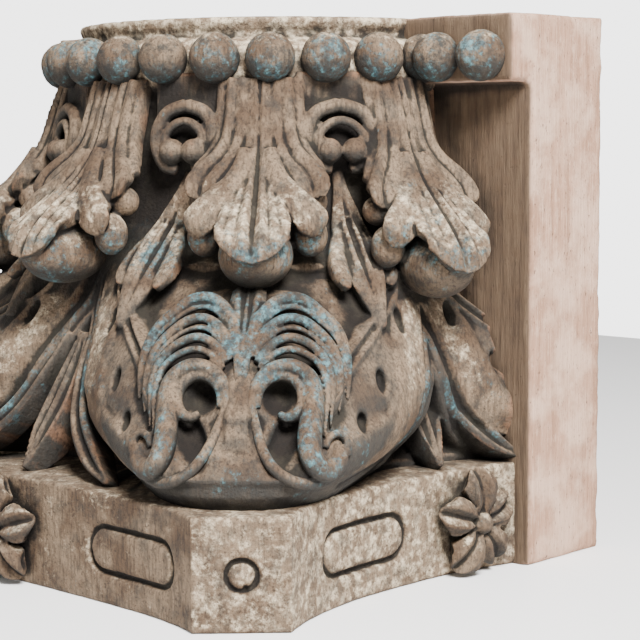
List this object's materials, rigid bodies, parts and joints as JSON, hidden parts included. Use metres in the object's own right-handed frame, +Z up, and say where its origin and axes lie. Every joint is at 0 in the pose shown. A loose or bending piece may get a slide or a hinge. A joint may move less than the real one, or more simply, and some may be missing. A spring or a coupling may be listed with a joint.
{
  "type": "corinthian capital",
  "caption": "Carved wooden Corinthian half capital on its abacus, with leaves, corner scrolls, a ring of beads and a flat wall board.",
  "frame": {"origin": "underside of the abacus, below the axis of the bead ring, in the front plane of the wall board", "axes": "+Z up as it stands on its abacus, -Y out of the carved front, +X to the right seen from the front"},
  "size_m": [0.5129, 0.3899, 0.4],
  "materials": {
    "painted_wood": "worn paint on carved wood"
  },
  "bodies": {
    "root": {"capital": "painted_wood"}
  },
  "joints": []
}
